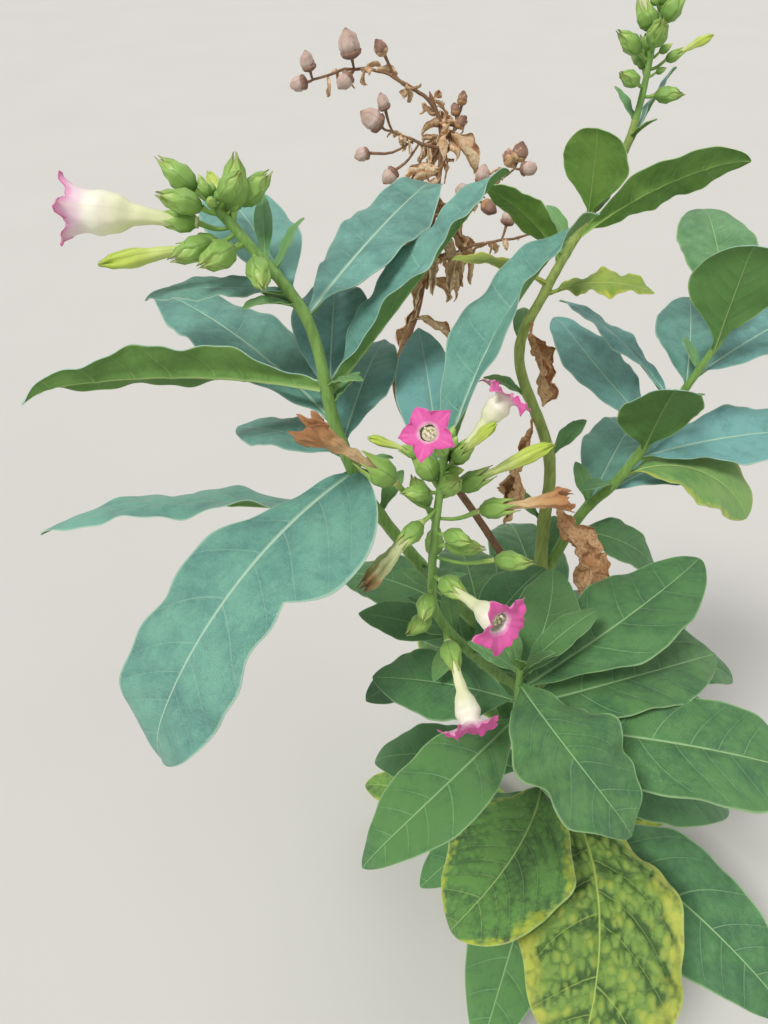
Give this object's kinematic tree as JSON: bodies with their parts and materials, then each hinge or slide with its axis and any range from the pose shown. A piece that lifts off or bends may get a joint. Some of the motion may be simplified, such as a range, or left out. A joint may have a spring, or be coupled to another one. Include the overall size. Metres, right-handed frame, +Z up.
{
  "type": "tobacco plant",
  "caption": "Flowering tobacco plant with a bent main stem, side stems, broad drooping leaves, trumpet flowers and a dry seed head.",
  "frame": {"origin": "middle of the flat cut under the main stem, at ground level", "axes": "+Z up from the ground, +X to the viewer's right and +Y away from the viewer as pictured"},
  "size_m": [0.5627, 0.4585, 0.8196],
  "materials": {
    "woody_stem": "matte ridged stem skin, green-brown",
    "green_stem": "matte downy stem skin, fresh green",
    "dry_stem": "matte dry stem skin, brown",
    "upper_leaf": "soft blue-green leaf with pale veins, low sheen",
    "lower_leaf": "deep green leaf with pale veins, low sheen",
    "yellow_leaf": "ageing leaf, yellow between green veins",
    "dry_leaf": "crumpled dry leaf, brown and matte",
    "flower_heads": "soft green calyx with pink and cream petals",
    "seed_head": "dry matte capsules and scraps, grey-brown"
  },
  "bodies": {
    "root": {"main_stem": "woody_stem", "left_stem": "green_stem", "middle_stem": "green_stem", "right_stem": "green_stem", "front_shoot": "green_stem", "dry_stem": "dry_stem", "left_leaf_1": "upper_leaf", "left_leaf_2": "upper_leaf", "left_leaf_3": "upper_leaf", "left_leaf_4": "upper_leaf", "left_leaf_5": "upper_leaf", "left_leaf_6": "upper_leaf", "left_leaf_7": "upper_leaf", "left_leaf_8": "upper_leaf", "left_leaf_9": "upper_leaf", "left_leaf_10": "upper_leaf", "left_leaf_11": "upper_leaf", "middle_leaf_1": "upper_leaf", "middle_leaf_2": "upper_leaf", "right_leaf_1": "upper_leaf", "right_leaf_2": "upper_leaf", "right_leaf_3": "upper_leaf", "right_leaf_4": "upper_leaf", "right_leaf_5": "upper_leaf", "right_leaf_6": "upper_leaf", "right_leaf_7": "upper_leaf", "right_leaf_8": "upper_leaf", "right_leaf_9": "yellow_leaf", "right_leaf_10": "upper_leaf", "top_leaf_1": "upper_leaf", "top_leaf_2": "upper_leaf", "top_leaf_3": "upper_leaf", "top_leaf_4": "upper_leaf", "front_leaf_1": "upper_leaf", "front_leaf_2": "upper_leaf", "front_leaf_3": "upper_leaf", "front_leaf_4": "upper_leaf", "front_leaf_5": "upper_leaf", "front_leaf_6": "upper_leaf", "front_leaf_7": "upper_leaf", "front_leaf_8": "upper_leaf", "front_leaf_9": "lower_leaf", "low_leaf_1": "yellow_leaf", "low_leaf_2": "lower_leaf", "low_leaf_3": "lower_leaf", "low_leaf_4": "lower_leaf", "base_leaves": "lower_leaf", "lower_leaves": "lower_leaf", "inner_leaves": "lower_leaf", "upper_leaves": "lower_leaf", "left_back_leaves": "lower_leaf", "right_back_leaves": "upper_leaf", "front_under_leaves": "lower_leaf", "middle_under_leaves": "lower_leaf", "top_young_leaves": "yellow_leaf", "dry_leaves": "dry_leaf", "left_flowers": "flower_heads", "middle_flowers": "flower_heads", "top_flowers": "flower_heads", "seed_head": "seed_head"}
  },
  "joints": []
}
